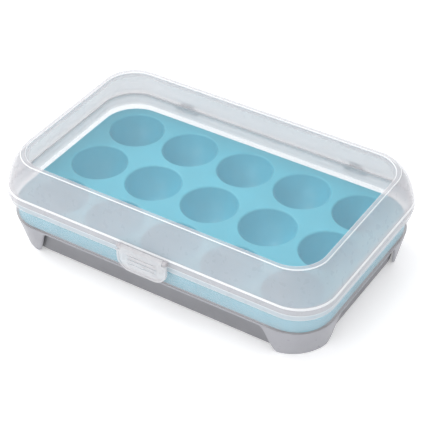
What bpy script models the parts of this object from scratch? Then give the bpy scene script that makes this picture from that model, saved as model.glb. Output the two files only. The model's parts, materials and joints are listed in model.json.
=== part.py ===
"""Hinged egg carton for the refrigerator, with a three by five tray.

Four moulded pieces: a footed base shell, a loose tray that drops into it, a
lid that turns on two moulded pivots at the back, and a latch that hangs from
the front of the lid. X runs along the carton, -Y is the front, Z is up, and
the origin is on the ground under the middle of the carton.
"""

import math

import bmesh
import bpy
from mathutils import Matrix, Vector

MM = 0.001

# Overall size, at the widest level of the lid band
LENGTH = 252 * MM
WIDTH = 156 * MM
HEIGHT = 70 * MM
OVERHANG = 4 * MM            # how far the latch and the hinge stand past the lid band
WALL = 1.4 * MM
GAP = 0.3 * MM               # clearance between pieces that touch or turn

# Corners seen from above
CORNER_RADIUS = 26.7 * MM    # at the lid band
RADIUS_LOSS = 0.4            # radius lost for each unit of inset
FOOT_ROUNDING = 5.5 * MM     # radius gained from the flange down to the ground
CORNER_STEPS = 8

# Heights
PARTING = 41.0 * MM          # lower edge of the lid
BAND_TOP = 46.6 * MM         # upper edge of the lid's band
FLANGE_TOP = PARTING - 0.4 * MM
FLANGE_BOTTOM = 36.4 * MM
DECK = 33.0 * MM             # top of the tray's deck
LEDGE = 22.7 * MM            # shelf in the base that the tray stands on
FLOOR = 1.5 * MM             # underside of the base's floor

# Base shell, as distances in from the lid band
BASE_INSET = 2.6 * MM        # wall between the flange and the ledge
FLANGE_INSET = 1.1 * MM
UPSTAND_INSET = 2.1 * MM     # rib that centres the lid
UPSTAND_HEIGHT = 4.0 * MM
UPSTAND_WALL = 1.7 * MM
FOOT_INSET = 6.5 * MM        # outside of a foot at the ground
FOOT_WALL = 1.6 * MM
TUB_INSET = 8.7 * MM         # lower wall, behind the arches
TUB_DRAFT = 0.6 * MM

# Arches between the feet, as distances in from the ends of the carton
ARCH_TOP = LEDGE - 1.7 * MM
ARCH_SHOULDER = 41.4 * MM
ARCH_TOE = 29.5 * MM
ARCH_STEPS = 8

# Lid
CROWN_INSET = 11.5 * MM      # half width of the crown's elliptical shoulder
CROWN_CENTRE = 38.4 * MM
CROWN_RISE = 31.3 * MM
CROWN_STEPS = 7
BEAD_OUTER = 8.7 * MM        # raised bead round the top panel
BEAD_INNER = 11.9 * MM
PANEL = HEIGHT - 1.2 * MM    # top of the panel inside the bead

# Tray
CELL_COLUMNS = 5
CELL_ROWS = 3
CELL_PITCH = 46.3 * MM
CELL_RADIUS = 20.8 * MM      # widest radius of the egg that a cell fits
CELL_CENTRE = 40.2 * MM      # height of that widest radius
CELL_DEPTH = 28.4 * MM       # from there to the bottom of the cell
CELL_SEAT = 5.0 * MM         # radius of the flat bottom
CELL_STEPS = 4
CELL_SIDES = 18
TRAY_INSET = BASE_INSET + WALL + 0.45 * MM

# Lid hinge at the back
HINGE_SPACING = 140 * MM
HINGE_Z = 38.4 * MM
EAR_RADIUS = 2.4 * MM
HINGE_Y = WIDTH / 2 + OVERHANG - EAR_RADIUS
EAR_WIDTH = 4.0 * MM
KNUCKLE_RADIUS = 2.2 * MM
KNUCKLE_WIDTH = 9.0 * MM
HINGE_PIN_RADIUS = 1.0 * MM

# Latch at the front
LATCH_WIDTH = 38.5 * MM
LATCH_BOTTOM = 27.5 * MM
LATCH_Z = 45.3 * MM
BARREL_RADIUS = 1.8 * MM
LATCH_Y = -(WIDTH / 2 + OVERHANG - BARREL_RADIUS)
LUG_WIDTH = 2.7 * MM
LATCH_PIN_RADIUS = 0.9 * MM
LATCH_THICKNESS = 2.6 * MM
LATCH_BORDER = 1.6 * MM
LATCH_RECESS = 0.6 * MM
LATCH_CORNER = 10.0 * MM
GRIP_WIDTH = 21 * MM
GRIP_RIBS = 3

ROUND_SIDES = 20
JOIN = 0.6 * MM              # how deep a joined shape reaches into its neighbour

# Local axes of an outline turned into each upright plane
FACING_X = Matrix(((0, 0, 1, 0), (1, 0, 0, 0), (0, 1, 0, 0), (0, 0, 0, 1)))
FACING_Y = Matrix(((1, 0, 0, 0), (0, 0, -1, 0), (0, 1, 0, 0), (0, 0, 0, 1)))


def clear_scene():
    for item in list(bpy.data.objects):
        bpy.data.objects.remove(item)


def new_collection(name):
    collection = bpy.data.collections.new(name)
    bpy.context.scene.collection.children.link(collection)
    return collection


clear_scene()
PARTS = new_collection("egg_carton")
CUTTERS = new_collection("cutters")


# ---------------------------------------------------------------- shape tools

def corner_radius(inset, z):
    growth = FOOT_ROUNDING * max(0.0, 1 - z / FLANGE_BOTTOM)
    return CORNER_RADIUS - RADIUS_LOSS * inset + growth


def carton_loop(inset, z):
    """One level of the carton: a rounded rectangle, anticlockwise from above."""
    radius = corner_radius(inset, z)
    points = []
    for corner in range(4):
        start = math.pi / 2 * (corner - 1)
        middle = start + math.pi / 4
        centre_x = math.copysign(LENGTH / 2 - inset - radius, math.cos(middle))
        centre_y = math.copysign(WIDTH / 2 - inset - radius, math.sin(middle))
        for step in range(CORNER_STEPS + 1):
            angle = start + math.pi / 2 * step / CORNER_STEPS
            x = centre_x + radius * math.cos(angle)
            y = centre_y + radius * math.sin(angle)
            points.append(Vector((x, y, z)))
    return points


def finish_mesh(bm, name, place=None):
    bmesh.ops.recalc_face_normals(bm, faces=bm.faces)
    mesh = bpy.data.meshes.new(name)
    bm.to_mesh(mesh)
    bm.free()
    solid = bpy.data.objects.new(name, mesh)
    if place:
        solid.matrix_world = place
    return solid


def lofted_wall(name, outer, inner, closed_end):
    """Loft a wall from two lists of (inset, z), each running away from the wall's open edge.

    With a closed end, both lists finish in a flat panel across the carton, as
    in a dish. Without one, the wall is a ring with a second edge there.
    """
    bm = bmesh.new()
    outside = [[bm.verts.new(point) for point in carton_loop(*level)] for level in outer]
    inside = [[bm.verts.new(point) for point in carton_loop(*level)] for level in inner]
    chain = outside[::-1] + inside
    if closed_end:
        bm.faces.new(outside[-1])
        bm.faces.new(inside[-1])
    else:
        chain.append(outside[-1])
    for first, second in zip(chain, chain[1:]):
        for index, corner in enumerate(first):
            bm.faces.new((first[index - 1], corner, second[index], second[index - 1]))
    return finish_mesh(bm, name)


def outline_solid(name, outline, thickness, place):
    """Extrude a flat outline to both sides of its plane, and give it as a mesh."""
    curve = bpy.data.curves.new(name, "CURVE")
    curve.dimensions = "2D"
    curve.fill_mode = "BOTH"
    curve.extrude = thickness / 2
    spline = curve.splines.new("POLY")
    spline.points.add(len(outline) - 1)
    for point, (x, y) in zip(spline.points, outline):
        point.co = (x, y, 0, 1)
    spline.use_cyclic_u = True
    guide = bpy.data.objects.new(name, curve)
    CUTTERS.objects.link(guide)
    depsgraph = bpy.context.evaluated_depsgraph_get()
    flat = bpy.data.meshes.new_from_object(guide.evaluated_get(depsgraph))
    bpy.data.objects.remove(guide)
    bm = bmesh.new()
    bm.from_mesh(flat)
    bmesh.ops.remove_doubles(bm, verts=bm.verts, dist=1e-6)
    return finish_mesh(bm, name, place)


def rod(name, radius, x_low, x_high, y, z):
    """A round bar along X."""
    bm = bmesh.new()
    bmesh.ops.create_cone(bm, cap_ends=True, segments=ROUND_SIDES,
                          radius1=radius, radius2=radius, depth=x_high - x_low)
    middle = ((x_low + x_high) / 2, y, z)
    place = Matrix.Translation(middle) @ Matrix.Rotation(math.pi / 2, 4, "Y")
    return finish_mesh(bm, name, place)


def turned(name, profile, centre):
    """Turn a profile of (radius, z), which runs down the outside, about a vertical axis."""
    mesh = bpy.data.meshes.new(name)
    points = [(radius, 0, z) for radius, z in profile]
    edges = [(index, index + 1) for index in range(len(points) - 1)]
    mesh.from_pydata(points, edges, [])
    solid = bpy.data.objects.new(name, mesh)
    solid.location = centre
    CUTTERS.objects.link(solid)
    screw = solid.modifiers.new("turn", "SCREW")
    screw.steps = CELL_SIDES
    screw.render_steps = CELL_SIDES
    screw.use_merge_vertices = True
    screw.merge_threshold = 1e-5
    depsgraph = bpy.context.evaluated_depsgraph_get()
    depsgraph.update()
    bm = bmesh.new()
    bm.from_mesh(bpy.data.meshes.new_from_object(solid.evaluated_get(depsgraph)))
    bpy.data.objects.remove(solid)
    return finish_mesh(bm, name, Matrix.Translation(centre))


def gather(name, solids):
    """Put separate solids in one object, as one tool for a Boolean."""
    bm = bmesh.new()
    for solid in solids:
        mesh = solid.data.copy()
        mesh.transform(solid.matrix_world)
        bm.from_mesh(mesh)
        bpy.data.objects.remove(solid)
    return finish_mesh(bm, name)


def combine(target, tool, operation):
    CUTTERS.objects.link(tool)
    tool.hide_render = True
    tool.display_type = "WIRE"
    boolean = target.modifiers.new(tool.name, "BOOLEAN")
    boolean.operation = operation
    boolean.object = tool


def arc(centre_x, centre_y, radius, start, end, steps):
    """Points of an arc between two angles in degrees."""
    angles = [math.radians(start + (end - start) * step / steps) for step in range(steps + 1)]
    return [(centre_x + radius * math.cos(a), centre_y + radius * math.sin(a)) for a in angles]


def moulding(solid, name, colour, roughness, alpha=1.0):
    """Link a finished piece, shade its round faces smooth and give it its plastic."""
    solid.name = name
    PARTS.objects.link(solid)
    solid.data.shade_smooth()
    solid.data.set_sharp_from_angle(angle=math.radians(35))
    plastic = bpy.data.materials.new(name)
    plastic.use_nodes = True
    shader = plastic.node_tree.nodes["Principled BSDF"]
    shader.inputs["Base Color"].default_value = (*colour, 1)
    shader.inputs["Roughness"].default_value = roughness
    shader.inputs["Metallic"].default_value = 0
    shader.inputs["Alpha"].default_value = alpha
    solid.data.materials.append(plastic)
    return solid


# ----------------------------------------------------------------- base shell

def foot_inset(z):
    """Outside of the base below its ledge, leaning in towards the ground."""
    return FOOT_INSET + (BASE_INSET - FOOT_INSET) * z / LEDGE


def base_wall():
    """The outer wall, from the rib inside the lid down to the ground."""
    edge = 0.9 * MM
    upstand_top = FLANGE_TOP + UPSTAND_HEIGHT
    outer = [
        (UPSTAND_INSET + GAP, upstand_top),
        (UPSTAND_INSET, upstand_top - 2 * GAP),
        (UPSTAND_INSET, FLANGE_TOP),
        (FLANGE_INSET + GAP, FLANGE_TOP),
        (FLANGE_INSET, FLANGE_TOP - GAP),
        (FLANGE_INSET, FLANGE_BOTTOM + 2 * GAP),
        (FLANGE_INSET + GAP, FLANGE_BOTTOM),
        (BASE_INSET, FLANGE_BOTTOM - GAP),
        (BASE_INSET, LEDGE),
        (foot_inset(LEDGE / 2), LEDGE / 2),
        (foot_inset(edge), edge),
        (FOOT_INSET + edge / 3, 0),
    ]
    inner = [
        (UPSTAND_INSET + UPSTAND_WALL, upstand_top),
        (UPSTAND_INSET + UPSTAND_WALL, FLANGE_TOP),
        (BASE_INSET + WALL, FLANGE_BOTTOM),
        (BASE_INSET + WALL, LEDGE),
        (FOOT_INSET + FOOT_WALL, 0),
    ]
    return lofted_wall("base_shell", outer, inner, closed_end=False)


def base_tub():
    """The ledge, let into the outer wall, with the tub that hangs from it."""
    edge = 0.9 * MM
    in_wall = BASE_INSET + WALL / 2
    tub_foot = TUB_INSET + TUB_DRAFT
    outer = [
        (in_wall, LEDGE - WALL),
        (TUB_INSET, LEDGE - WALL),
        (tub_foot, FLOOR + edge),
        (tub_foot + edge, FLOOR),
    ]
    inner = [
        (in_wall, LEDGE),
        (TUB_INSET + WALL, LEDGE),
        (tub_foot + WALL, FLOOR + WALL + edge),
        (tub_foot + WALL + edge, FLOOR + WALL),
    ]
    return lofted_wall("base_tub", outer, inner, closed_end=True)


def arch_outline(half_span):
    """Opening between two feet: flat on top, an S-curve down to each toe."""
    shoulder = half_span - ARCH_SHOULDER
    toe = half_span - ARCH_TOE
    below = -2 * MM
    side = []
    for step in range(ARCH_STEPS + 1):
        share = step / ARCH_STEPS
        drop = (1 - math.cos(math.pi * share)) / 2
        side.append((shoulder + (toe - shoulder) * share, ARCH_TOP * (1 - drop)))
    side.append((toe + 1 * MM, below))
    return side + [(-x, z) for x, z in reversed(side)]


def arch_cutter(name, half_span, depth, facing):
    """A bar that cuts both arches of one direction, clear through the carton."""
    return outline_solid(name, arch_outline(half_span), depth, facing)


def hinge_centres():
    return [-HINGE_SPACING / 2, HINGE_SPACING / 2]


def hinge_ears():
    """Two ears at each hinge, reaching back from the flange round the pivot."""
    root = WIDTH / 2 - FLANGE_INSET - JOIN
    half_root = EAR_RADIUS - 0.4 * MM
    outline = arc(HINGE_Y, HINGE_Z, EAR_RADIUS, -90, 90, ROUND_SIDES // 2)
    outline += [(root, HINGE_Z + half_root), (root, HINGE_Z - half_root)]
    offset = KNUCKLE_WIDTH / 2 + GAP + EAR_WIDTH / 2
    ears = []
    for centre in hinge_centres():
        for side in (-1, 1):
            place = Matrix.Translation((centre + side * offset, 0, 0)) @ FACING_X
            ears.append(outline_solid("ear", outline, EAR_WIDTH, place))
    return gather("base_ears", ears)


def hinge_bores():
    reach = KNUCKLE_WIDTH / 2 + EAR_WIDTH + 1 * MM
    radius = HINGE_PIN_RADIUS + GAP
    bores = [rod("bore", radius, x - reach, x + reach, HINGE_Y, HINGE_Z) for x in hinge_centres()]
    return gather("base_bores", bores)


def make_base():
    base = base_wall()
    combine(base, arch_cutter("long_arches", LENGTH / 2, 2 * WIDTH, FACING_Y), "DIFFERENCE")
    combine(base, arch_cutter("short_arches", WIDTH / 2, 2 * LENGTH, FACING_X), "DIFFERENCE")
    combine(base, base_tub(), "UNION")
    combine(base, hinge_ears(), "UNION")
    combine(base, hinge_bores(), "DIFFERENCE")
    return moulding(base, "base_shell", (0.62, 0.63, 0.66), 0.35, alpha=0.7)


# ----------------------------------------------------------------------- tray

def tray_levels():
    foot = LEDGE + GAP
    edge = 1.2 * MM
    outer = [
        (TRAY_INSET, foot),
        (TRAY_INSET, DECK - edge),
        (TRAY_INSET + edge * 0.3, DECK - edge * 0.3),
        (TRAY_INSET + edge, DECK),
    ]
    inner = [
        (TRAY_INSET + WALL, foot),
        (TRAY_INSET + WALL, DECK - WALL - edge),
        (TRAY_INSET + WALL + edge, DECK - WALL),
    ]
    return outer, inner


def cell_profile(top, grown=0.0):
    """Profile down the side of a cell, from the axis at the top to the axis at the seat."""
    seat = CELL_SEAT + grown / 2
    depth = CELL_DEPTH + grown
    bottom = CELL_CENTRE - depth * math.sqrt(1 - (seat / (CELL_RADIUS + grown)) ** 2)
    start = math.asin((CELL_CENTRE - min(top, CELL_CENTRE)) / depth)
    end = math.asin((CELL_CENTRE - bottom) / depth)
    profile = [(0, top)]
    for step in range(CELL_STEPS + 1):
        angle = start + (end - start) * step / CELL_STEPS
        profile.append(((CELL_RADIUS + grown) * math.cos(angle), CELL_CENTRE - depth * math.sin(angle)))
    profile.append((0, bottom))
    return profile


def cell_solids(name, profile):
    solids = []
    for column in range(CELL_COLUMNS):
        for row in range(CELL_ROWS):
            x = (column - (CELL_COLUMNS - 1) / 2) * CELL_PITCH
            y = (row - (CELL_ROWS - 1) / 2) * CELL_PITCH
            solids.append(turned("cell", profile, (x, y, 0)))
    return gather(name, solids)


def make_tray():
    tray = lofted_wall("egg_tray", *tray_levels(), closed_end=True)
    wall = 1.2 * MM
    combine(tray, cell_solids("tray_cups", cell_profile(DECK - WALL / 2, wall)), "UNION")
    combine(tray, cell_solids("tray_cells", cell_profile(DECK + 2 * MM)), "DIFFERENCE")
    return moulding(tray, "egg_tray", (0.34, 0.62, 0.72), 0.4)


# ------------------------------------------------------------------------ lid

def crown_levels(depth=0.0):
    """The lid's rounded shoulder, or the face under it at a depth into the wall."""
    start = math.asin((BAND_TOP + 2 * GAP - CROWN_CENTRE) / CROWN_RISE)
    end = math.acos(1 - (BEAD_OUTER - GAP) / CROWN_INSET)
    levels = []
    for step in range(CROWN_STEPS + 1):
        angle = start + (end - start) * step / CROWN_STEPS
        slope = math.atan2(CROWN_INSET * math.sin(angle), CROWN_RISE * math.cos(angle))
        inset = GAP + CROWN_INSET * (1 - math.cos(angle)) + depth * math.cos(slope)
        height = CROWN_CENTRE + CROWN_RISE * math.sin(angle) - depth * math.sin(slope)
        levels.append((inset, height))
    return levels


def bead_levels():
    """The raised bead round the top panel, from outside to inside."""
    middle = (BEAD_OUTER + BEAD_INNER) / 2
    half_width = (BEAD_INNER - BEAD_OUTER) / 2
    foot = PANEL + GAP
    points = arc(middle, foot, half_width, 180, 0, 8)
    rise = (HEIGHT - foot) / half_width
    return [(inset, foot + (z - foot) * rise) for inset, z in points]


def lid_levels():
    edge = 0.6 * MM
    inner_face = UPSTAND_INSET - 0.5 * MM
    outer = [
        (edge, PARTING),
        (edge * 0.2, PARTING + edge * 0.5),
        (0, PARTING + edge * 1.5),
        (0, BAND_TOP - edge),
        (edge * 0.4, BAND_TOP),
    ]
    outer += crown_levels() + bead_levels() + [(BEAD_INNER + edge, PANEL)]
    inner = [(inner_face, PARTING), (inner_face, BAND_TOP - 2 * edge)]
    inner += crown_levels(WALL)[:-1] + [(BEAD_INNER + WALL, PANEL - WALL)]
    return outer, inner


def hinge_arms():
    """An arm at each hinge, down the back of the lid's band to a round knuckle."""
    in_band = WIDTH / 2 - JOIN
    near = HINGE_Y - KNUCKLE_RADIUS
    far = HINGE_Y + KNUCKLE_RADIUS
    outline = arc(HINGE_Y, HINGE_Z, KNUCKLE_RADIUS, 180, 360, ROUND_SIDES // 2)
    outline += [
        (far, PARTING + 0.5 * MM),
        (far - 1.2 * MM, BAND_TOP - 2.2 * MM),
        (in_band, BAND_TOP - 1.0 * MM),
        (in_band, PARTING + 1.2 * MM),
        (near, PARTING + 0.5 * MM),
    ]
    arms = []
    for centre in hinge_centres():
        place = Matrix.Translation((centre, 0, 0)) @ FACING_X
        arms.append(outline_solid("arm", outline, KNUCKLE_WIDTH, place))
    return gather("lid_arms", arms)


def hinge_pivots():
    reach = KNUCKLE_WIDTH / 2 + GAP + EAR_WIDTH
    pivots = [rod("pivot", HINGE_PIN_RADIUS, x - reach, x + reach, HINGE_Y, HINGE_Z) for x in hinge_centres()]
    return gather("lid_pivots", pivots)


def latch_lugs():
    """Two lugs on the front of the band, flush with the sides of the latch."""
    in_band = -(WIDTH / 2 - JOIN)
    outline = arc(LATCH_Y, LATCH_Z, BARREL_RADIUS, 90, 270, ROUND_SIDES // 2)
    outline += [(in_band, LATCH_Z - BARREL_RADIUS), (in_band, BAND_TOP - GAP)]
    offset = (LATCH_WIDTH - LUG_WIDTH) / 2
    lugs = []
    for side in (-1, 1):
        place = Matrix.Translation((side * offset, 0, 0)) @ FACING_X
        lugs.append(outline_solid("lug", outline, LUG_WIDTH, place))
    return gather("lid_lugs", lugs)


def make_lid():
    lid = lofted_wall("lid", *lid_levels(), closed_end=True)
    combine(lid, hinge_arms(), "UNION")
    combine(lid, hinge_pivots(), "UNION")
    combine(lid, latch_lugs(), "UNION")
    reach = LATCH_WIDTH / 2 + 1 * MM
    bore = rod("latch_bore", LATCH_PIN_RADIUS + GAP, -reach, reach, LATCH_Y, LATCH_Z)
    combine(lid, bore, "DIFFERENCE")
    return moulding(lid, "lid", (0.78, 0.78, 0.80), 0.3, alpha=0.45)


# ---------------------------------------------------------------------- latch

def latch_outline(margin, top):
    """The latch from the front: straight sides, a rounded lower end."""
    half = LATCH_WIDTH / 2 - margin
    bottom = LATCH_BOTTOM + margin
    radius = LATCH_CORNER - margin
    right = arc(half - radius, bottom + radius, radius, -90, 0, 7) + [(half, top)]
    return right, [(-x, z) for x, z in reversed(right)]


def latch_plate():
    shoulder = LATCH_Z - BARREL_RADIUS - GAP
    neck = LATCH_WIDTH / 2 - LUG_WIDTH - GAP
    right, left = latch_outline(0, shoulder)
    outline = right + [(neck, shoulder), (neck, LATCH_Z), (-neck, LATCH_Z), (-neck, shoulder)] + left
    middle = -(WIDTH / 2 + OVERHANG) + LATCH_THICKNESS / 2
    place = Matrix.Translation((0, middle, 0)) @ FACING_Y
    return outline_solid("latch", outline, LATCH_THICKNESS, place)


def latch_recess():
    right, left = latch_outline(LATCH_BORDER, LATCH_Z - BARREL_RADIUS - LATCH_BORDER)
    front = -(WIDTH / 2 + OVERHANG)
    depth = 2 * LATCH_RECESS
    place = Matrix.Translation((0, front, 0)) @ FACING_Y
    return outline_solid("latch_recess", right + left, depth, place)


def grip_ribs():
    """Level ribs in the middle of the recess, for the fingertip."""
    pitch = 3.2 * MM
    half_height = 0.55 * MM
    lowest = LATCH_BOTTOM + 6.4 * MM
    front = -(WIDTH / 2 + OVERHANG) + 0.1 * MM
    depth = LATCH_RECESS + JOIN
    half = GRIP_WIDTH / 2
    ribs = []
    for number in range(GRIP_RIBS):
        z = lowest + number * pitch
        outline = arc(half, z, half_height, -90, 90, 4) + arc(-half, z, half_height, 90, 270, 4)
        place = Matrix.Translation((0, front + depth / 2, 0)) @ FACING_Y
        ribs.append(outline_solid("rib", outline, depth, place))
    return gather("latch_ribs", ribs)


def latch_catch():
    """A low ridge on the back of the latch, just below the base's flange."""
    back = -(WIDTH / 2 + OVERHANG) + LATCH_THICKNESS
    tip = -(WIDTH / 2 - FLANGE_INSET) - GAP
    top = FLANGE_BOTTOM - GAP
    outline = [
        (back - JOIN, top),
        (tip, top - GAP),
        (tip, top - 1.2 * MM),
        (back - JOIN, top - 3.0 * MM),
    ]
    return outline_solid("latch_catch", outline, 24 * MM, FACING_X)


def make_latch():
    latch = latch_plate()
    combine(latch, latch_recess(), "DIFFERENCE")
    combine(latch, grip_ribs(), "UNION")
    combine(latch, latch_catch(), "UNION")
    neck = LATCH_WIDTH / 2 - LUG_WIDTH - GAP
    combine(latch, rod("latch_barrel", BARREL_RADIUS, -neck, neck, LATCH_Y, LATCH_Z), "UNION")
    reach = LATCH_WIDTH / 2 - GAP
    combine(latch, rod("latch_pivots", LATCH_PIN_RADIUS, -reach, reach, LATCH_Y, LATCH_Z), "UNION")
    return moulding(latch, "latch", (0.74, 0.76, 0.79), 0.35, alpha=0.8)


def hang_on_axis(piece, name, point):
    """Parent a moving piece to an empty that stands on its joint's axis."""
    axis = bpy.data.objects.new(name, None)
    axis.location = point
    PARTS.objects.link(axis)
    piece.parent = axis
    piece.matrix_parent_inverse = Matrix.Translation(point).inverted()
    return axis


make_base()
make_tray()
lid_piece = make_lid()
latch_piece = make_latch()
hang_on_axis(lid_piece, "lid_axis", (0, HINGE_Y, HINGE_Z))
hang_on_axis(latch_piece, "latch_axis", (0, LATCH_Y, LATCH_Z))
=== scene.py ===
"""Looks of the hinged egg carton: frosted base on feet, blue tray, clear-topped lid and latch.

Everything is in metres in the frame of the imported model: X along the carton,
-Y at the front, Z up, and the ground at zero.
"""

import json
import math

import bmesh
import bpy
from mathutils import Matrix, Vector


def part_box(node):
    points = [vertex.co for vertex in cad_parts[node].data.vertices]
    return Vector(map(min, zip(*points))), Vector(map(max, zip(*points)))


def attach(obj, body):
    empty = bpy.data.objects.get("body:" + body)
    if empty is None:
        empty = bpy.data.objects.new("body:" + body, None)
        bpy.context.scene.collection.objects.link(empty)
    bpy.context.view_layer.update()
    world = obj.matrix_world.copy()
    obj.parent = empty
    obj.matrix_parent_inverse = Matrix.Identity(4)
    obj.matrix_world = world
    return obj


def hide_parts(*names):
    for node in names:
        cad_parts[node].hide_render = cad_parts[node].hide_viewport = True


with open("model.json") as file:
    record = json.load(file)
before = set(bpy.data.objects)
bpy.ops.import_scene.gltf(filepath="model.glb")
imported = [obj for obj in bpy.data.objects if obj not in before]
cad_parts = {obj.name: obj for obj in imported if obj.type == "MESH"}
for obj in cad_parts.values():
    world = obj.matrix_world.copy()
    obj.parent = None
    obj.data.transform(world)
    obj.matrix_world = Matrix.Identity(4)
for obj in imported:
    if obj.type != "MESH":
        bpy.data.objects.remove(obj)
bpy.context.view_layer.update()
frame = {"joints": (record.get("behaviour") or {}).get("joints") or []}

MM = 0.001

BASE_LOW, BASE_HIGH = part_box("base_shell")
TRAY_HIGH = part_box("egg_tray")[1]
LID_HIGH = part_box("lid")[1]
LATCH_LOW, LATCH_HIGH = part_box("latch")
HINGE, LATCH_AXIS = (Vector(joint["pos_m"]) for joint in frame["joints"])

# The carton's plan, at the widest level of the lid band
HALF_LENGTH = LID_HIGH.x
FLANGE_INSET = HALF_LENGTH - BASE_HIGH.x
HALF_WIDTH = FLANGE_INSET - BASE_LOW.y
HEIGHT = LID_HIGH.z
WALL = 1.4 * MM
GAP = 0.3 * MM
CORNER_RADIUS = 26.7 * MM
RADIUS_LOSS = 0.4            # corner radius lost for each unit of inset
FOOT_ROUNDING = 5.5 * MM     # corner radius gained from the flange down to the ground
CORNER_STEPS = 24
LONG_STEPS = 60              # steps along a side that runs along X
SHORT_STEPS = 44

# Heights and insets of the base
PARTING = 41.0 * MM
FLANGE_TOP = PARTING - 0.4 * MM
FLANGE_BOTTOM = 36.4 * MM
LEDGE = 22.7 * MM
BASE_INSET = 2.6 * MM
BASE_EDGE = 0.45 * MM        # rounding of the base's edges
UPSTAND_INSET = 2.1 * MM     # the upstand is the rib on the flange, inside the lid's band
UPSTAND_WALL = 1.7 * MM
UPSTAND_FACE = UPSTAND_INSET + UPSTAND_WALL
UPSTAND_TOP = FLANGE_TOP + 4.0 * MM
FLANGE_EDGE_STEPS = 4
FOOT_INSET = 6.5 * MM
FOOT_WALL = 1.6 * MM
# Round the foot of the wall: share of the way through it, and lift in edge roundings
FOOT_SECTION = ((0.06, 0.6), (0.2, 0.15), (0.35, 0), (0.65, 0), (0.8, 0.15), (0.94, 0.6))
SKIRT_STEPS = 6
TUB_FLOOR = 1.5 * MM
TUB_INSET = 8.7 * MM
TUB_FOOT = TUB_INSET + 0.6 * MM
TUB_ROUNDING = 2.4 * MM
TUB_STEPS = 6
ARCH_TOP = LEDGE - 1.7 * MM
ARCH_SHOULDER = 41.4 * MM
ARCH_TOE = 29.5 * MM
ARCH_PASSES = 8              # times the foot of the wall is worked out again, to settle

# Lid
BAND_TOP = 46.6 * MM
CROWN_INSET = 11.5 * MM
CROWN_CENTRE = 38.4 * MM
CROWN_RISE = 31.3 * MM
BEAD_OUTER = 8.7 * MM
BEAD_INNER = 11.9 * MM
BEAD_EDGE = 0.7 * MM
BEAD_STEPS = 5
LID_EDGE = 0.6 * MM
LID_FACE = UPSTAND_INSET - 0.5 * MM
PANEL = HEIGHT - 1.2 * MM

# Tray
CELL_COLUMNS = 5
CELL_ROWS = 3
CELL_PITCH = 46.3 * MM
CELL_RADIUS = 20.8 * MM
CELL_CENTRE = 40.2 * MM
CELL_DEPTH = 28.4 * MM
CELL_SEAT = 5.0 * MM
CELL_LIP = 1.5 * MM
CELL_SIDE_STEPS = 14         # steps along each of a cell tile's four sides
CELL_DEPTH_STEPS = 12
TRAY_INSET = HALF_LENGTH - TRAY_HIGH.x
TRAY_FOOT = LEDGE + GAP
TRAY_WALL = 1.2 * MM
TRAY_EDGE = 1.2 * MM
DECK = TRAY_HIGH.z

# Hinge and latch
HINGE_SPACING = 140 * MM
EAR_RADIUS = 2.4 * MM
EAR_WIDTH = 4.0 * MM
KNUCKLE_RADIUS = 2.2 * MM
KNUCKLE_WIDTH = 9.0 * MM
HINGE_PIN_RADIUS = 1.0 * MM
ARM_TAPER = 1.2 * MM
BARREL_RADIUS = 1.8 * MM
LUG_WIDTH = 2.7 * MM
LATCH_PIN_RADIUS = 0.9 * MM
LATCH_THICKNESS = 2.6 * MM
LATCH_BORDER = 1.6 * MM
LATCH_RECESS = 0.6 * MM
LATCH_CORNER = 10.0 * MM
LATCH_HALF = LATCH_HIGH.x
LATCH_FRONT = LATCH_LOW.y
GRIP_WIDTH = 21 * MM
GRIP_RIBS = 3
GRIP_PITCH = 3.2 * MM
GRIP_HALF_HEIGHT = 0.55 * MM
GRIP_LOWEST = LATCH_LOW.z + 6.4 * MM
CATCH_WIDTH = 24 * MM
CATCH_TIP_HEIGHT = 1.2 * MM
CATCH_ROOT_HEIGHT = 3.0 * MM
ROUND_SIDES = 32
OVERLAP = 0.3 * MM           # how far ribs sink into the plate that they are joined to

# Camera, fitted to the photograph's outline
CAMERA_AZIMUTH = 33.02       # degrees from the front towards the right
CAMERA_ELEVATION = 38.32
CAMERA_ROLL = 0.71
CAMERA_LENS = 121.6          # focal length in mm
SENSOR_WIDTH = 36            # in mm
CAMERA_DISTANCE = 979.3 * MM
CAMERA_ASIDE = 2.05 * MM
CAMERA_BELOW = 6.79 * MM
CAMERA_TARGET = HEIGHT * 0.492

# Shading
PLASTIC_IOR = 1.46
GLOSS_SPREAD = 0.15          # share by which the roughness varies
NOISE_LOW = 0.3              # the part of the noise's range that is spread out
NOISE_HIGH = 0.7
CLOUD_SIZE = 18 * MM
STREAK_SIZE = 5 * MM
SHARP_ANGLE = 40             # degrees between faces, from which an edge is drawn sharp
BEVEL_ANGLE = 50             # degrees between faces, from which an edge is rounded

FACING_X = Matrix(((0, 0, 1, 0), (1, 0, 0, 0), (0, 1, 0, 0), (0, 0, 0, 1)))
FACING_Y = Matrix(((1, 0, 0, 0), (0, 0, -1, 0), (0, 1, 0, 0), (0, 0, 0, 1)))


# ------------------------------------------------------------------ materials

def ramp_value(tree, source, low, high):
    """Spread the middle of a noise's range evenly from low to high."""
    spread = tree.nodes.new("ShaderNodeMapRange")
    spread.inputs["From Min"].default_value = NOISE_LOW
    spread.inputs["From Max"].default_value = NOISE_HIGH
    spread.inputs["To Min"].default_value = low
    spread.inputs["To Max"].default_value = high
    tree.links.new(source, spread.inputs["Value"])
    return spread.outputs["Result"]


def noise(tree, place, feature, detail=3.0):
    """Noise whose lumps are about one feature across."""
    texture = tree.nodes.new("ShaderNodeTexNoise")
    texture.inputs["Scale"].default_value = 1 / feature
    texture.inputs["Detail"].default_value = detail
    tree.links.new(place, texture.inputs["Vector"])
    return texture.outputs["Fac"]


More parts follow.
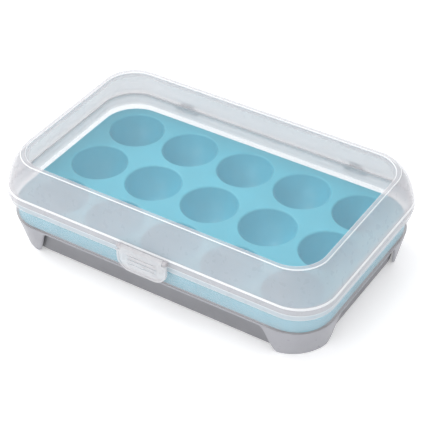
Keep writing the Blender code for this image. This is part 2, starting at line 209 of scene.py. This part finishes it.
def plastic(name, colour, roughness, alpha=1.0, cloud=0.03, grain=0.35 * MM, grain_height=0.01 * MM,
            wave=12 * MM, wave_height=0.0):
    """Moulded plastic: cloudy colour, uneven gloss, and a grain over a slower unevenness."""
    material = bpy.data.materials.new(name)
    material.use_nodes = True
    tree = material.node_tree
    shader = tree.nodes["Principled BSDF"]
    place = tree.nodes.new("ShaderNodeTexCoord").outputs["Object"]
    clouds = noise(tree, place, CLOUD_SIZE)

    mix = tree.nodes.new("ShaderNodeMix")
    mix.data_type = "RGBA"
    mix.inputs["A"].default_value = (*[level * (1 - cloud) for level in colour], 1)
    mix.inputs["B"].default_value = (*[min(level * (1 + cloud), 1) for level in colour], 1)
    tree.links.new(ramp_value(tree, clouds, 0, 1), mix.inputs["Factor"])
    tree.links.new(mix.outputs["Result"], shader.inputs["Base Color"])

    streaks = noise(tree, place, STREAK_SIZE)
    rough = ramp_value(tree, streaks, roughness * (1 - GLOSS_SPREAD), roughness * (1 + GLOSS_SPREAD))
    tree.links.new(rough, shader.inputs["Roughness"])

    fine = tree.nodes.new("ShaderNodeBump")
    fine.inputs["Distance"].default_value = grain_height
    tree.links.new(noise(tree, place, grain, 2.0), fine.inputs["Height"])
    slow = tree.nodes.new("ShaderNodeBump")
    slow.inputs["Distance"].default_value = wave_height
    tree.links.new(noise(tree, place, wave, 1.0), slow.inputs["Height"])
    tree.links.new(fine.outputs["Normal"], slow.inputs["Normal"])
    tree.links.new(slow.outputs["Normal"], shader.inputs["Normal"])

    shader.inputs["IOR"].default_value = PLASTIC_IOR
    shader.inputs["Alpha"].default_value = alpha
    return material


def clear_panel():
    return plastic("lid_clear", (0.93, 0.92, 0.935), 0.08, alpha=0.06, cloud=0.01, wave=22 * MM,
                   wave_height=0.03 * MM)


def painted_highlight_edge():
    """The polished edges of the lid, round the band, the panel and the flange, with a painted highlight: a
    whiter, less clear plastic that stands in for the light they gather.
    """
    return plastic("edge_painted_highlight", (0.93, 0.93, 0.94), 0.15, alpha=0.8, cloud=0.01)


def frosted_lid():
    return plastic("lid_frosted", (0.64, 0.62, 0.64), 0.3, alpha=0.42, cloud=0.02, grain=3 * MM,
                   grain_height=0.006 * MM)


def hazy_rim():
    return plastic("rim_hazy", (0.70, 0.69, 0.71), 0.3, alpha=0.5, cloud=0.02, grain=3 * MM,
                   grain_height=0.006 * MM)


# Painted shade: a darker, less clear copy of the base's frosted plastic on the wall below the ledge and on
# the feet, which face down, away from the light.
def painted_shade_foot():
    return plastic("foot_painted_shade", (0.41, 0.41, 0.44), 0.32, alpha=0.8, cloud=0.04, grain=2 * MM,
                   grain_height=0.01 * MM)


def frosted_base():
    return plastic("base_frosted", (0.74, 0.72, 0.74), 0.26, alpha=0.24, cloud=0.03, grain=3 * MM,
                   grain_height=0.006 * MM)


# Painted shade: a dark sheet on the tub's outside and underside, standing in for the shade seen under the
# arches between the feet; the real tub is the same frosted moulding as the base.
def painted_shade_tub():
    return plastic("tub_painted_shade", (0.22, 0.22, 0.235), 0.42, cloud=0.06, grain=1.5 * MM,
                   grain_height=0.01 * MM)


def blue_tray():
    return plastic("tray_blue", (0.10, 0.50, 0.63), 0.36, cloud=0.04, grain=1.5 * MM,
                   grain_height=0.01 * MM)


def milky_latch():
    return plastic("latch_milky", (0.74, 0.73, 0.745), 0.28, alpha=0.5, cloud=0.02, grain=3 * MM,
                   grain_height=0.006 * MM)


def floor_paint():
    paint = plastic("floor_paint", (0.9, 0.9, 0.9), 0.7, cloud=0.004, grain=2 * MM, grain_height=0.02 * MM)
    shader = paint.node_tree.nodes["Principled BSDF"]
    shader.inputs["Emission Color"].default_value = (1, 1, 1, 1)
    shader.inputs["Emission Strength"].default_value = 0.3
    return paint


# ---------------------------------------------------------------- mesh making

def smooth_piece(bm, name, body, node, materials, rounding=0.0):
    """Turn a closed mesh into a shaded piece that rides on a body and stands for a node."""
    bmesh.ops.recalc_face_normals(bm, faces=bm.faces)
    mesh = bpy.data.meshes.new(name)
    bm.to_mesh(mesh)
    bm.free()
    for material in materials:
        mesh.materials.append(material)
    mesh.shade_smooth()
    mesh.set_sharp_from_angle(angle=math.radians(SHARP_ANGLE))
    piece = bpy.data.objects.new(name, mesh)
    bpy.context.scene.collection.objects.link(piece)
    if rounding:
        bevel = piece.modifiers.new("rounding", "BEVEL")
        bevel.width = rounding
        bevel.segments = 3
        bevel.limit_method = "ANGLE"
        bevel.angle_limit = math.radians(BEVEL_ANGLE)
    weighted = piece.modifiers.new("even_normals", "WEIGHTED_NORMAL")
    weighted.keep_sharp = True
    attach(piece, body)
    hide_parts(node)
    return piece


def arc(centre_x, centre_y, radius, start, end, steps):
    """Points of an arc between two angles in degrees."""
    angles = [math.radians(start + (end - start) * step / steps) for step in range(steps + 1)]
    return [(centre_x + radius * math.cos(a), centre_y + radius * math.sin(a)) for a in angles]


def corner_radius(inset, z):
    growth = FOOT_ROUNDING * max(0.0, 1 - z / FLANGE_BOTTOM)
    return CORNER_RADIUS - RADIUS_LOSS * inset + growth


def loop_stations():
    """Stations round the carton, anticlockwise from the front end of its front right corner.

    A station is on a corner, at a share of its turn, or on the side after that corner, at a share
    of its length. The stations on a side are closer together near its ends.
    """
    stations = []
    for corner in range(4):
        for step in range(CORNER_STEPS):
            stations.append((corner, "corner", step / CORNER_STEPS))
        steps = LONG_STEPS if corner % 2 else SHORT_STEPS
        for step in range(steps):
            share = (1 - math.cos(math.pi * step / steps)) / 2
            stations.append((corner, "side", share))
    return stations


STATIONS = loop_stations()


def corner_point(corner, share, inset, z):
    radius = corner_radius(inset, z)
    start = math.pi / 2 * (corner - 1)
    middle = start + math.pi / 4
    centre_x = math.copysign(HALF_LENGTH - inset - radius, math.cos(middle))
    centre_y = math.copysign(HALF_WIDTH - inset - radius, math.sin(middle))
    angle = start + math.pi / 2 * share
    return Vector((centre_x + radius * math.cos(angle), centre_y + radius * math.sin(angle), z))


def station_point(station, inset, z):
    corner, kind, share = station
    if kind == "corner":
        return corner_point(corner, share, inset, z)
    first = corner_point(corner, 1, inset, z)
    last = corner_point((corner + 1) % 4, 0, inset, z)
    return first.lerp(last, share)


def fixed(inset, z):
    """A level of a loft that is the same all round."""
    return lambda station: (inset, z)


def finished(finish, places):
    """Levels that are the same all round, each with the finish of the strip that follows it."""
    return [(fixed(inset, z), finish) for inset, z in places]


def loft(levels, finishes):
    """Skin (level, finish) pairs round the stations, and close the first and last level flat.

    A finish is the name of one of the finishes, which are in the order of the material slots.
    """
    bm = bmesh.new()
    loops = []
    for level, _ in levels:
        loops.append([bm.verts.new(station_point(s, *level(s))) for s in STATIONS])
    slots = [finishes.index(finish) for _, finish in levels[:-1]]
    for slot, first, second in zip(slots, loops, loops[1:]):
        for index, vertex in enumerate(first):
            face = bm.faces.new((first[index - 1], vertex, second[index], second[index - 1]))
            face.material_index = slot
    bm.faces.new(loops[0]).material_index = slots[0]
    bm.faces.new(loops[-1]).material_index = slots[-1]
    return bm


def prism(outline, thickness, place):
    """A flat outline extruded to both sides of its plane."""
    bm = bmesh.new()
    face = bm.faces.new([bm.verts.new((x, y, -thickness / 2)) for x, y in outline])
    grown = bmesh.ops.extrude_face_region(bm, geom=[face])["geom"]
    moved = [item for item in grown if isinstance(item, bmesh.types.BMVert)]
    bmesh.ops.translate(bm, vec=(0, 0, thickness), verts=moved)
    bmesh.ops.recalc_face_normals(bm, faces=bm.faces)
    bm.transform(place)
    return bm


def rod(radius, x_low, x_high, y, z):
    bm = bmesh.new()
    bmesh.ops.create_cone(bm, cap_ends=True, segments=ROUND_SIDES,
                          radius1=radius, radius2=radius, depth=x_high - x_low)
    bm.transform(Matrix.Translation(((x_low + x_high) / 2, y, z)) @ Matrix.Rotation(math.pi / 2, 4, "Y"))
    return bm


def as_object(bm, name):
    mesh = bpy.data.meshes.new(name)
    bm.to_mesh(mesh)
    bm.free()
    solid = bpy.data.objects.new(name, mesh)
    bpy.context.scene.collection.objects.link(solid)
    return solid


def boolean(target_bm, tool_bm, operation):
    """Combine two closed meshes and give the result as a new one."""
    target = as_object(target_bm, "target")
    tool = as_object(tool_bm, "tool")
    modifier = target.modifiers.new("combine", "BOOLEAN")
    modifier.operation = operation
    modifier.object = tool
    depsgraph = bpy.context.evaluated_depsgraph_get()
    result = bmesh.new()
    result.from_mesh(target.evaluated_get(depsgraph).to_mesh())
    bpy.data.objects.remove(target)
    bpy.data.objects.remove(tool)
    return result


def gather(meshes):
    """Put several closed meshes in one."""
    whole = bmesh.new()
    for bm in meshes:
        mesh = bpy.data.meshes.new("gathered")
        bm.to_mesh(mesh)
        bm.free()
        whole.from_mesh(mesh)
        bpy.data.meshes.remove(mesh)
    return whole


# ----------------------------------------------------------------- base shell

def foot_inset(z):
    """Outside of the base below its ledge, leaning in towards the ground."""
    return FOOT_INSET + (BASE_INSET - FOOT_INSET) * min(z / LEDGE, 1)


def arch_height(from_end):
    """Lower edge of the wall at a distance in from the end of a side."""
    share = (from_end - ARCH_TOE) / (ARCH_SHOULDER - ARCH_TOE)
    share = min(max(share, 0), 1)
    return ARCH_TOP * (1 - math.cos(math.pi * share)) / 2


def wall_foot(station):
    """Where the wall ends at a station: on the ground, or at the arch."""
    height = 0.0
    for _ in range(ARCH_PASSES):
        point = station_point(station, foot_inset(height), height)
        along_x = arch_height(HALF_LENGTH - abs(point.x))
        along_y = arch_height(HALF_WIDTH - abs(point.y))
        height = max(along_x, along_y)
    return height


WALL_FEET = {station: wall_foot(station) for station in STATIONS}


def skirt(share, side, lift=0.0):
    """A level of the wall below the ledge, part of the way down to its own foot.

    Side 0 is the outer face and 1 the inner face.
    """
    def level(station):
        foot = WALL_FEET[station]
        z = LEDGE - WALL + (foot + lift - LEDGE + WALL) * share
        thickness = WALL + (FOOT_WALL - WALL) * (1 - z / LEDGE)
        return foot_inset(z) + side * thickness, z
    return level


def base_inside():
    """Round the tub's floor, up its wall, out over the ledge and up to the top of the upstand."""
    edge = BASE_EDGE
    wall_face = BASE_INSET + WALL
    reach = WALL + TUB_ROUNDING
    tub = arc(TUB_FOOT + reach, TUB_FLOOR + reach, TUB_ROUNDING, 270, 180, TUB_STEPS)
    tub += [(TUB_INSET + WALL, LEDGE - edge), (TUB_INSET + WALL - edge, LEDGE)]
    tub += [(wall_face + edge, LEDGE), (wall_face, LEDGE + edge)]
    upstand = [(wall_face, FLANGE_BOTTOM - edge), (UPSTAND_FACE, FLANGE_TOP)]
    upstand += [(UPSTAND_FACE, UPSTAND_TOP - edge), (UPSTAND_FACE - edge / 3, UPSTAND_TOP)]
    return finished("frosted", tub) + finished("hazy", upstand)


def base_rim():
    """Down the outside of the upstand, round the flange's two edges, which carry a painted highlight, and
    down to the ledge.
    """
    edge = BASE_EDGE
    upstand = [(UPSTAND_INSET + edge / 2, UPSTAND_TOP), (UPSTAND_INSET, UPSTAND_TOP - edge)]
    upstand += [(UPSTAND_INSET, FLANGE_TOP + GAP / 3), (UPSTAND_INSET - GAP / 3, FLANGE_TOP)]
    upper = arc(FLANGE_INSET + edge, FLANGE_TOP - edge, edge, 90, 180, FLANGE_EDGE_STEPS)
    lower = arc(FLANGE_INSET + edge, FLANGE_BOTTOM + edge, edge, 180, 270, FLANGE_EDGE_STEPS)
    wall = [(BASE_INSET, FLANGE_BOTTOM - GAP), (BASE_INSET, FLANGE_BOTTOM - 2 * MM)]
    wall += [(BASE_INSET, LEDGE + 1 * MM)]
    levels = finished("hazy", upstand)
    levels += finished("bright", upper[:-2]) + finished("hazy", upper[-2:])
    levels += finished("bright", lower[:-1]) + finished("hazy", lower[-1:])
    # From the ledge down, the wall takes the painted shade of the feet.
    return levels + finished("frosted", wall) + finished("foot_shade", [(BASE_INSET, LEDGE)])


def base_skirt():
    """Down the outside of the wall to its foot, round the foot and up the inside."""
    down = [skirt(step / SKIRT_STEPS, 0, BASE_EDGE) for step in range(1, SKIRT_STEPS + 1)]
    foot = [skirt(1, side, lift * BASE_EDGE) for side, lift in FOOT_SECTION]
    up = [skirt(step / SKIRT_STEPS, 1, BASE_EDGE) for step in range(SKIRT_STEPS, 0, -1)]
    # The wall below the ledge and its feet take the painted shade, all round.
    return [(level, "foot_shade") for level in down + foot + up]


def base_underside():
    """In under the ledge, down the outside of the tub and round to its underside."""
    ledge_foot = LEDGE - WALL
    ledge = [(BASE_INSET + WALL + 1 * MM, ledge_foot), (TUB_INSET - BASE_EDGE, ledge_foot)]
    tub = [(TUB_INSET, ledge_foot - BASE_EDGE)]
    tub += arc(TUB_FOOT + TUB_ROUNDING, TUB_FLOOR + TUB_ROUNDING, TUB_ROUNDING, 180, 270, TUB_STEPS)
    # The tub's outside and underside take the dark painted shade.
    return finished("frosted", ledge) + finished("tub_shade", tub)


def make_base():
    materials = {
        "frosted": frosted_base(),
        "tub_shade": painted_shade_tub(),
        "bright": painted_highlight_edge(),
        "hazy": hazy_rim(),
        "foot_shade": painted_shade_foot(),
    }
    levels = base_inside() + base_rim() + base_skirt() + base_underside()
    moulding = loft(levels, list(materials))
    smooth_piece(moulding, "base_moulding", "base", "base_shell", materials.values())
    smooth_piece(hinge_ears(), "base_hinge_ears", "base", "base_shell",
                 [materials["frosted"]], 0.3 * MM)


def hinge_centres():
    return [-HINGE_SPACING / 2, HINGE_SPACING / 2]


def hinge_ears():
    """Two ears at each hinge, reaching back from the flange round the pivot."""
    root = HALF_WIDTH - FLANGE_INSET - GAP / 3
    half_root = EAR_RADIUS - 0.4 * MM
    outline = arc(HINGE.y, HINGE.z, EAR_RADIUS, -90, 90, ROUND_SIDES // 2)
    outline += [(root, HINGE.z + half_root), (root, HINGE.z - half_root)]
    offset = KNUCKLE_WIDTH / 2 + GAP + EAR_WIDTH / 2
    ears = []
    for centre in hinge_centres():
        for side in (-1, 1):
            x = centre + side * offset
            ear = prism(outline, EAR_WIDTH, Matrix.Translation((x, 0, 0)) @ FACING_X)
            bore = rod(HINGE_PIN_RADIUS + GAP, x - EAR_WIDTH, x + EAR_WIDTH, HINGE.y, HINGE.z)
            ears.append(boolean(ear, bore, "DIFFERENCE"))
    return gather(ears)


# ----------------------------------------------------------------------- tray

def outline_point(x, y, inset):
    """The nearest point to (x, y), a place near the edge, on the outline at the tray's deck."""
    radius = corner_radius(inset, DECK)
    half_x = HALF_LENGTH - inset - radius
    half_y = HALF_WIDTH - inset - radius
    core = Vector((min(max(x, -half_x), half_x), min(max(y, -half_y), half_y)))
    away = Vector((x, y)) - core
    return core + away.normalized() * radius


def tile_boundary(column, row, inset):
    """Points round a cell's tile, anticlockwise, on the tray's outline where the tile meets it."""
    centre_x = (column - (CELL_COLUMNS - 1) / 2) * CELL_PITCH
    centre_y = (row - (CELL_ROWS - 1) / 2) * CELL_PITCH
    half = CELL_PITCH / 2
    corners = [(half, -half), (half, half), (-half, half), (-half, -half)]
    on_edge = [column == CELL_COLUMNS - 1, row == CELL_ROWS - 1, column == 0, row == 0]
    points = []
    for side in range(4):
        start = Vector(corners[side])
        end = Vector(corners[(side + 1) % 4])
        for step in range(CELL_SIDE_STEPS):
            offset = start.lerp(end, step / CELL_SIDE_STEPS)
            x = centre_x + offset.x
            y = centre_y + offset.y
            outer = on_edge[side] or (step == 0 and on_edge[side - 1])
            points.append(outline_point(x, y, inset) if outer else Vector((x, y)))
    return Vector((centre_x, centre_y)), points


def cell_profile():
    """(radius, z) from the middle of the seat up the side of the cell and over its rounded lip."""
    seat_z = CELL_CENTRE - CELL_DEPTH * math.sqrt(1 - (CELL_SEAT / CELL_RADIUS) ** 2)
    start = math.asin((CELL_CENTRE - seat_z) / CELL_DEPTH)
    end = math.asin((CELL_CENTRE - DECK + CELL_LIP) / CELL_DEPTH)
    profile = [(CELL_SEAT * 0.5, seat_z), (CELL_SEAT * 0.85, seat_z + 0.05 * MM)]
    for step in range(1, CELL_DEPTH_STEPS + 1):
        angle = start + (end - start) * step / CELL_DEPTH_STEPS
        profile.append((CELL_RADIUS * math.cos(angle), CELL_CENTRE - CELL_DEPTH * math.sin(angle)))
    top_radius = profile[-1][0]
    profile += arc(top_radius + CELL_LIP, DECK - CELL_LIP, CELL_LIP, 180, 90, 5)[1:]
    return seat_z, profile


def add_cell(bm, column, row):
    """One cell and the square tile of deck round it."""
    seat_z, profile = cell_profile()
    centre, boundary = tile_boundary(column, row, TRAY_INSET + TRAY_EDGE)
    rays = [(point - centre).normalized() for point in boundary]
    rings = []
    for radius, z in profile:
        rings.append([bm.verts.new((*(centre + ray * radius), z)) for ray in rays])
    rings.append([bm.verts.new((*point, DECK)) for point in boundary])
    middle = bm.verts.new((*centre, seat_z))
    for index, vertex in enumerate(rings[0]):
        bm.faces.new((middle, rings[0][index - 1], vertex))
    for first, second in zip(rings, rings[1:]):
        for index, vertex in enumerate(first):
            bm.faces.new((vertex, first[index - 1], second[index - 1], second[index]))


def add_tray_wall(bm):
    """Over the deck's rounded edge and down to the foot of the tray."""
    edge = TRAY_EDGE
    rim = [e for e in bm.edges if e.is_boundary]
    drops = arc(0, -edge, edge, 90, 0, 4)[1:] + [(edge, -2.5 * edge), (edge, TRAY_FOOT - DECK)]
    for out, down in drops:
        grown = bmesh.ops.extrude_edge_only(bm, edges=rim)["geom"]
        rim = [item for item in grown if isinstance(item, bmesh.types.BMEdge)]
        for vertex in [item for item in grown if isinstance(item, bmesh.types.BMVert)]:
            flat = outline_point(vertex.co.x, vertex.co.y, TRAY_INSET + edge - out)
            vertex.co = (flat.x, flat.y, DECK + down)


def make_tray():
    bm = bmesh.new()
    for column in range(CELL_COLUMNS):
        for row in range(CELL_ROWS):
            add_cell(bm, column, row)
    bmesh.ops.remove_doubles(bm, verts=bm.verts, dist=MM / 1000)
    bmesh.ops.recalc_face_normals(bm, faces=bm.faces)
    add_tray_wall(bm)
    tray = smooth_piece(bm, "tray_moulding", "base", "egg_tray", [blue_tray()])
    thick = tray.modifiers.new("wall", "SOLIDIFY")
    thick.thickness = TRAY_WALL
    thick.offset = -1
    tray.modifiers.move(1, 0)    # the wall comes before the even normals


# ------------------------------------------------------------------------ lid

def crown_levels(steps, depth=0.0):
    """The lid's rounded shoulder, or the face under it at a depth into the wall."""
    start = math.asin((BAND_TOP + 2 * GAP - CROWN_CENTRE) / CROWN_RISE)
    end = math.acos(1 - (BEAD_OUTER - GAP) / CROWN_INSET)
    levels = []
    for step in range(steps + 1):
        angle = start + (end - start) * step / steps
        slope = math.atan2(CROWN_INSET * math.sin(angle), CROWN_RISE * math.cos(angle))
        inset = GAP + CROWN_INSET * (1 - math.cos(angle)) + depth * math.cos(slope)
        height = CROWN_CENTRE + CROWN_RISE * math.sin(angle) - depth * math.sin(slope)
        levels.append((inset, height))
    return levels


def lid_inside():
    """Out under the panel and down the inside of the crown and the band to the parting line."""
    panel = [(BEAD_INNER + 4 * WALL, PANEL - WALL)]
    wall = [(BEAD_INNER + WALL, PANEL - WALL)]
    wall += crown_levels(18, WALL)[-2::-1]
    wall += [(LID_FACE + GAP / 2, BAND_TOP - LID_EDGE), (LID_FACE, BAND_TOP - 2 * LID_EDGE)]
    wall += [(LID_FACE, PARTING + LID_EDGE / 2), (LID_FACE - GAP / 2, PARTING)]
    return finished("clear", panel) + finished("frosted", wall)


def lid_band():
    """Up the outside of the band, whose upper and lower edges carry a painted highlight."""
    edge = LID_EDGE
    lower = arc(edge, PARTING + edge, edge, 270, 180, 4)
    face = [(0, PARTING + 2 * edge), (0, BAND_TOP - 2 * edge)]
    upper = arc(edge, BAND_TOP - edge, edge, 180, 130, 3)
    return finished("bright", lower[:-1]) + finished("frosted", lower[-1:] + face) + finished("bright", upper)


def lid_bead():
    """Over the bead, which carries a painted highlight along the outer and the inner edge of its crest."""
    outer = arc(BEAD_OUTER + BEAD_EDGE, HEIGHT - BEAD_EDGE, BEAD_EDGE, 180, 90, BEAD_STEPS)
    inner = arc(BEAD_INNER - BEAD_EDGE, HEIGHT - BEAD_EDGE, BEAD_EDGE, 90, 0, BEAD_STEPS)
    levels = finished("bright", outer[:-2]) + finished("frosted", outer[-2:] + inner[:1])
    return levels + finished("bright", inner[1:-1]) + finished("frosted", inner[-1:])


def lid_panel():
    """From the foot of the bead in to the panel."""
    return finished("clear", [
        (BEAD_INNER, PANEL + GAP),
        (BEAD_INNER + GAP / 2, PANEL + GAP / 4),
        (BEAD_INNER + LID_EDGE, PANEL),
        (BEAD_INNER + 4 * WALL, PANEL),
    ])


def hinge_arms():
    """An arm at each hinge, down the back of the lid's band to a round knuckle."""
    on_band = HALF_WIDTH - GAP / 3
    near = HINGE.y - KNUCKLE_RADIUS
    far = HINGE.y + KNUCKLE_RADIUS
    outline = arc(HINGE.y, HINGE.z, KNUCKLE_RADIUS, 180, 360, ROUND_SIDES // 2)
    top = BAND_TOP - 1.0 * MM
    bottom = PARTING + 0.5 * MM
    outline += [
        (far, bottom),
        (far - ARM_TAPER, top - ARM_TAPER),
        (on_band, top),
        (on_band, PARTING + ARM_TAPER),
        (near, bottom),
    ]
    reach = KNUCKLE_WIDTH / 2 + GAP + EAR_WIDTH
    arms = []
    for centre in hinge_centres():
        place = Matrix.Translation((centre, 0, 0)) @ FACING_X
        arm = prism(outline, KNUCKLE_WIDTH, place)
        pivot = rod(HINGE_PIN_RADIUS, centre - reach, centre + reach, HINGE.y, HINGE.z)
        arms.append(boolean(arm, pivot, "UNION"))
    return gather(arms)


def latch_lugs():
    """Two lugs on the front of the band, flush with the sides of the latch."""
    on_band = -(HALF_WIDTH - GAP / 3)
    outline = arc(LATCH_AXIS.y, LATCH_AXIS.z, BARREL_RADIUS, 90, 270, ROUND_SIDES // 2)
    outline += [(on_band, LATCH_AXIS.z - BARREL_RADIUS), (on_band, BAND_TOP - GAP)]
    lugs = []
    for side in (-1, 1):
        middle = side * (LATCH_HALF - LUG_WIDTH / 2)
        lug = prism(outline, LUG_WIDTH, Matrix.Translation((middle, 0, 0)) @ FACING_X)
        bore = rod(LATCH_PIN_RADIUS + GAP, middle - LUG_WIDTH, middle + LUG_WIDTH, LATCH_AXIS.y, LATCH_AXIS.z)
        lugs.append(boolean(lug, bore, "DIFFERENCE"))
    return gather(lugs)


def make_lid():
    materials = {"frosted": frosted_lid(), "clear": clear_panel(), "bright": painted_highlight_edge()}
    frosted = [materials["frosted"]]
    crown = finished("frosted", crown_levels(24))
    moulding = loft(lid_inside() + lid_band() + crown + lid_bead() + lid_panel(), list(materials))
    smooth_piece(moulding, "lid_moulding", "lid", "lid", materials.values())
    smooth_piece(hinge_arms(), "lid_hinge_arms", "lid", "lid", frosted, 0.3 * MM)
    smooth_piece(latch_lugs(), "lid_latch_lugs", "lid", "lid", frosted, 0.25 * MM)


# ---------------------------------------------------------------------- latch

def latch_outline(margin, top):
    """The latch from the front: straight sides, a rounded lower end."""
    half = LATCH_HALF - margin
    bottom = LATCH_LOW.z + margin
    radius = LATCH_CORNER - margin
    right = arc(half - radius, bottom + radius, radius, -90, 0, 14)
    right += [(half, bottom + radius + (top - bottom - radius) * share / 6) for share in range(1, 7)]
    return right + [(-x, z) for x, z in reversed(right)]


def latch_plate():
    """Plate with a rounded edge, a raised border and a shallow pocket in front."""
    shoulder = LATCH_AXIS.z - BARREL_RADIUS - GAP
    edge = 0.5 * MM
    back = LATCH_FRONT + LATCH_THICKNESS
    sections = [(edge - i, back - d) for i, d in arc(0, edge, edge, 270, 360, 4)]
    sections += [(edge - i, LATCH_FRONT + d) for i, d in arc(0, edge, edge, 0, -90, 4)]
    pocket = LATCH_FRONT + LATCH_RECESS
    small = edge / 2
    sections += [(LATCH_BORDER - small + i, LATCH_FRONT + small - d) for i, d in arc(0, 0, small, 90, 0, 3)]
    sections += [(LATCH_BORDER + small, pocket)]
    bm = bmesh.new()
    loops = []
    for margin, y in sections:
        loops.append([bm.verts.new((x, y, z)) for x, z in latch_outline(margin, shoulder - margin)])
    for first, second in zip(loops, loops[1:]):
        for index, vertex in enumerate(first):
            bm.faces.new((first[index - 1], vertex, second[index], second[index - 1]))
    bm.faces.new(loops[0])
    bm.faces.new(loops[-1])
    bmesh.ops.recalc_face_normals(bm, faces=bm.faces)
    return bm


def latch_neck():
    """The bar between the lugs that joins the plate to its round barrel."""
    half = LATCH_HALF - LUG_WIDTH - GAP
    low = LATCH_AXIS.z - BARREL_RADIUS - GAP - LATCH_BORDER / 2
    back = LATCH_FRONT + LATCH_THICKNESS
    outline = arc(LATCH_AXIS.y, LATCH_AXIS.z, BARREL_RADIUS, 180, -60, 20)
    outline += [(back - GAP, low), (LATCH_FRONT + GAP / 3, low)]
    return prism(outline, 2 * half, FACING_X)


def grip_ribs():
    """Level ribs in the middle of the pocket, for the fingertip."""
    front = LATCH_FRONT + 0.1 * MM
    depth = LATCH_RECESS + OVERLAP
    half = GRIP_WIDTH / 2
    ribs = []
    for number in range(GRIP_RIBS):
        z = GRIP_LOWEST + number * GRIP_PITCH
        outline = arc(half, z, GRIP_HALF_HEIGHT, -90, 90, 8)
        outline += arc(-half, z, GRIP_HALF_HEIGHT, 90, 270, 8)
        place = Matrix.Translation((0, front + depth / 2, 0)) @ FACING_Y
        ribs.append(prism(outline, depth, place))
    return gather(ribs)


def latch_catch():
    """A low ridge on the back of the latch, just below the base's flange."""
    back = LATCH_FRONT + LATCH_THICKNESS
    tip = -(HALF_WIDTH - FLANGE_INSET) - GAP
    top = FLANGE_BOTTOM - GAP
    root = back - OVERLAP
    outline = [(root, top), (tip, top - GAP), (tip, top - CATCH_TIP_HEIGHT), (root, top - CATCH_ROOT_HEIGHT)]
    return prism(outline, CATCH_WIDTH, FACING_X)


def make_latch():
    reach = LATCH_HALF - GAP
    plate = boolean(latch_plate(), latch_neck(), "UNION")
    plate = boolean(plate, grip_ribs(), "UNION")
    plate = boolean(plate, latch_catch(), "UNION")
    plate = boolean(plate, rod(LATCH_PIN_RADIUS, -reach, reach, LATCH_AXIS.y, LATCH_AXIS.z), "UNION")
    smooth_piece(plate, "latch_moulding", "latch", "latch", [milky_latch()], 0.2 * MM)


# ---------------------------------------------------- floor, lights and camera

def make_floor():
    """A floor 6 m square, a hair below the feet."""
    bm = bmesh.new()
    bmesh.ops.create_grid(bm, x_segments=24, y_segments=24, size=3)
    bm.transform(Matrix.Translation((0, 0, -0.05 * MM)))
    floor = as_object(bm, "studio_floor")
    floor.data.materials.append(floor_paint())


def softbox(name, place, size, power):
    lamp = bpy.data.lights.new(name, "AREA")
    lamp.shape = "RECTANGLE"
    lamp.size, lamp.size_y = size
    lamp.energy = power
    holder = bpy.data.objects.new(name, lamp)
    holder.location = place
    holder.rotation_mode = "QUATERNION"
    holder.rotation_quaternion = (-Vector(place)).to_track_quat("-Z", "Y")
    bpy.context.scene.collection.objects.link(holder)


def make_lights():
    world = bpy.data.worlds.new("studio")
    world.use_nodes = True
    background = world.node_tree.nodes["Background"]
    background.inputs["Color"].default_value = (0.97, 0.98, 1.0, 1)
    background.inputs["Strength"].default_value = 0.9
    bpy.context.scene.world = world
    softbox("key_softbox", place=(-0.9, 0.1, 1.3), size=(1.0, 1.0), power=8)
    softbox("front_softbox", place=(-0.2, -1.4, 0.9), size=(1.2, 0.8), power=5)


def make_camera():
    azimuth = math.radians(CAMERA_AZIMUTH)
    elevation = math.radians(CAMERA_ELEVATION)
    roll = math.radians(CAMERA_ROLL)
    target = Vector((0, 0, CAMERA_TARGET))
    back = Vector((math.sin(azimuth) * math.cos(elevation),
                   -math.cos(azimuth) * math.cos(elevation), math.sin(elevation)))
    right = Vector((math.cos(azimuth), math.sin(azimuth), 0))
    up = back.cross(right)
    turned_right = right * math.cos(roll) - up * math.sin(roll)
    turned_up = right * math.sin(roll) + up * math.cos(roll)
    lens = bpy.data.cameras.new("photo_camera")
    lens.sensor_width = SENSOR_WIDTH
    lens.lens = CAMERA_LENS
    camera = bpy.data.objects.new("photo_camera", lens)
    spot = target + turned_right * CAMERA_ASIDE - turned_up * CAMERA_BELOW + back * CAMERA_DISTANCE
    turn = Matrix((turned_right, turned_up, back)).transposed().to_4x4()
    camera.matrix_world = Matrix.Translation(spot) @ turn
    bpy.context.scene.collection.objects.link(camera)
    bpy.context.scene.camera = camera
    bpy.context.scene.view_settings.view_transform = "Standard"


make_camera()
make_lights()
make_floor()
make_base()
make_tray()
make_lid()
make_latch()
